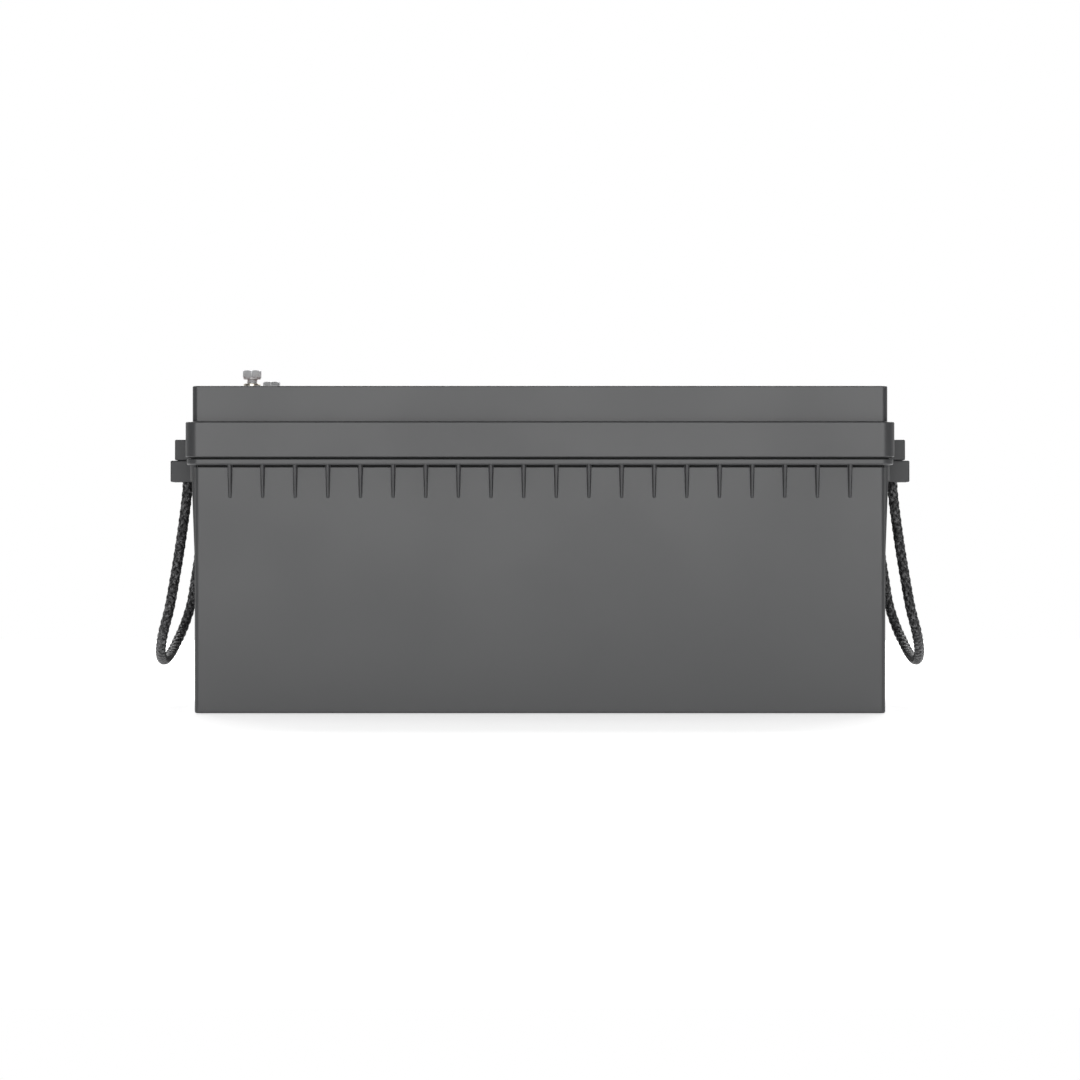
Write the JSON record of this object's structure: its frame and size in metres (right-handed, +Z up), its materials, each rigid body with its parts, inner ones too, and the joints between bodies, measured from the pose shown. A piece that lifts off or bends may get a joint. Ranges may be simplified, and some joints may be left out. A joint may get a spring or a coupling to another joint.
{
  "type": "deep cycle battery",
  "caption": "Sealed lead-acid deep cycle battery: ribbed oblong case, stepped lid, bolt terminals at one end and a rope handle on each end.",
  "frame": {"origin": "middle of the underside of the case", "axes": "+X along the length with the terminals at the -X end, +Y across the width with the positive terminal at -Y, +Z up"},
  "size_m": [0.5876, 0.238, 0.254],
  "materials": {
    "case_plastic": "fine moulded grain, dark charcoal grey",
    "rubber": "moulded black rubber",
    "oxide_plates": "pasted brown lead dioxide on a cast grid",
    "lead_plates": "pasted grey sponge lead on a cast grid",
    "glass_mat": "felted glass fibre, damp",
    "lead": "cast lead, dull",
    "tinned_brass": "turned and tinned",
    "red_resin": "cast epoxy, glossy",
    "black_resin": "cast epoxy, glossy",
    "plated_steel": "zinc plated",
    "rope_yarn": "braided black polypropylene"
  },
  "bodies": {
    "battery": {"case": "case_plastic", "lid": "case_plastic", "vent_cover_front": "case_plastic", "vent_cover_rear": "case_plastic", "positive_plates_1": "oxide_plates", "positive_plates_2": "oxide_plates", "positive_plates_3": "oxide_plates", "positive_plates_4": "oxide_plates", "positive_plates_5": "oxide_plates", "positive_plates_6": "oxide_plates", "negative_plates_1": "lead_plates", "negative_plates_2": "lead_plates", "negative_plates_3": "lead_plates", "negative_plates_4": "lead_plates", "negative_plates_5": "lead_plates", "negative_plates_6": "lead_plates", "separators_1": "glass_mat", "separators_2": "glass_mat", "separators_3": "glass_mat", "separators_4": "glass_mat", "separators_5": "glass_mat", "separators_6": "glass_mat", "cell_weld_1_2": "lead", "cell_weld_2_3": "lead", "cell_weld_3_4": "lead", "cell_weld_4_5": "lead", "cell_weld_5_6": "lead", "terminal_post_positive": "lead", "terminal_insert_positive": "tinned_brass", "post_seal_positive": "rubber", "terminal_resin_positive": "red_resin", "terminal_post_negative": "lead", "terminal_insert_negative": "tinned_brass", "post_seal_negative": "rubber", "terminal_resin_negative": "black_resin", "rope_end_left_front": "rope_yarn", "rope_end_left_rear": "rope_yarn", "rope_end_right_front": "rope_yarn", "rope_end_right_rear": "rope_yarn"},
    "washer_positive": {"captive_washer_positive": "plated_steel"},
    "bolt_positive": {"bolt_positive": "plated_steel"},
    "washer_negative": {"captive_washer_negative": "plated_steel"},
    "bolt_negative": {"bolt_negative": "plated_steel"},
    "rope_necks_left": {"rope_neck_left_front": "rope_yarn", "rope_neck_left_rear": "rope_yarn"},
    "rope_loop_left": {"rope_loop_left": "rope_yarn"},
    "rope_necks_right": {"rope_neck_right_front": "rope_yarn", "rope_neck_right_rear": "rope_yarn"},
    "rope_loop_right": {"rope_loop_right": "rope_yarn"},
    "valve_cap_1": {"valve_cap_1": "rubber"},
    "valve_cap_2": {"valve_cap_2": "rubber"},
    "valve_cap_3": {"valve_cap_3": "rubber"},
    "valve_cap_4": {"valve_cap_4": "rubber"},
    "valve_cap_5": {"valve_cap_5": "rubber"},
    "valve_cap_6": {"valve_cap_6": "rubber"}
  },
  "joints": [
    {"name": "left_handle_swing", "type": "hinge", "parent": "battery", "child": "rope_necks_left", "pos_m": [-0.2648, 0, 0.1666], "axis": [0, 1, 0], "range_deg": [-6, 85]},
    {"name": "left_handle_fold", "type": "hinge", "parent": "rope_necks_left", "child": "rope_loop_left", "pos_m": [-0.2671, 0, 0.145], "axis": [0, 1, 0], "range_deg": [-6.5, 90]},
    {"name": "right_handle_swing", "type": "hinge", "parent": "battery", "child": "rope_necks_right", "pos_m": [0.2648, 0, 0.1666], "axis": [0, -1, 0], "range_deg": [-6, 85]},
    {"name": "right_handle_fold", "type": "hinge", "parent": "rope_necks_right", "child": "rope_loop_right", "pos_m": [0.2671, 0, 0.145], "axis": [0, -1, 0], "range_deg": [-6.5, 90]},
    {"name": "positive_bolt_feed", "type": "slide", "parent": "battery", "child": "washer_positive", "axis": [0, 0, 1], "range_m": [-0.003, 0.0121]},
    {"name": "positive_bolt_turn", "type": "hinge", "parent": "washer_positive", "child": "bolt_positive", "pos_m": [-0.2147, -0.081, 0.244], "axis": [0, 0, 1], "range_deg": [-860, 3450]},
    {"name": "negative_bolt_feed", "type": "slide", "parent": "battery", "child": "washer_negative", "axis": [0, 0, 1], "range_m": [-0.003, 0.0121]},
    {"name": "negative_bolt_turn", "type": "hinge", "parent": "washer_negative", "child": "bolt_negative", "pos_m": [-0.2147, 0.081, 0.244], "axis": [0, 0, 1], "range_deg": [-860, 3450]},
    {"name": "valve_1_lift", "type": "slide", "parent": "battery", "child": "valve_cap_1", "axis": [0, 0, 1], "range_m": [0, 0.001]},
    {"name": "valve_2_lift", "type": "slide", "parent": "battery", "child": "valve_cap_2", "axis": [0, 0, 1], "range_m": [0, 0.001]},
    {"name": "valve_3_lift", "type": "slide", "parent": "battery", "child": "valve_cap_3", "axis": [0, 0, 1], "range_m": [0, 0.001]},
    {"name": "valve_4_lift", "type": "slide", "parent": "battery", "child": "valve_cap_4", "axis": [0, 0, 1], "range_m": [0, 0.001]},
    {"name": "valve_5_lift", "type": "slide", "parent": "battery", "child": "valve_cap_5", "axis": [0, 0, 1], "range_m": [0, 0.001]},
    {"name": "valve_6_lift", "type": "slide", "parent": "battery", "child": "valve_cap_6", "axis": [0, 0, 1], "range_m": [0, 0.001]}
  ],
  "couplings": [
    {"joint": "left_handle_fold", "follows": "left_handle_swing", "ratio": 1.053},
    {"joint": "right_handle_fold", "follows": "right_handle_swing", "ratio": 1.053},
    {"joint": "positive_bolt_feed", "follows": "positive_bolt_turn", "m_per_rad": 0.00019894},
    {"joint": "negative_bolt_feed", "follows": "negative_bolt_turn", "m_per_rad": 0.00019894}
  ]
}
